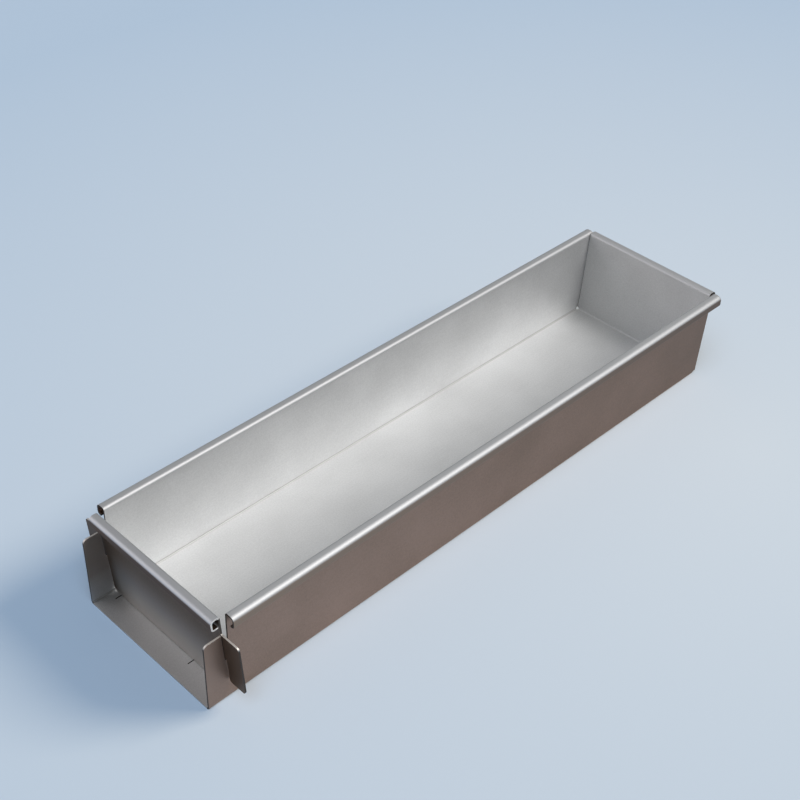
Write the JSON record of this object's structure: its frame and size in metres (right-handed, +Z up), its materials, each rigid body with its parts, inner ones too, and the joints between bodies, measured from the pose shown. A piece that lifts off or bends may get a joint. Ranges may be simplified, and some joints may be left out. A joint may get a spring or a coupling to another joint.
{
  "type": "tiramisu mould",
  "caption": "Long straight-sided sheet metal mould with hollow rolled rims and an end gate that slides up and out of wall slots, for layered desserts.",
  "frame": {"origin": "middle of the mould's length and width, on the surface that its floor stands on", "axes": "+Z up, +Y along the mould from the lift-out gate towards the fixed far wall, +X across it"},
  "size_m": [0.1254, 0.4144, 0.06],
  "materials": {
    "pan_aluminium": "satin",
    "gate_aluminium": "satin"
  },
  "bodies": {
    "pan": {"pan": "pan_aluminium"},
    "gate": {"gate": "gate_aluminium"}
  },
  "joints": [
    {"name": "gate_lift", "type": "slide", "parent": "pan", "child": "gate", "axis": [0, -0.0715, 0.9974], "range_m": [0, 0.06]}
  ]
}
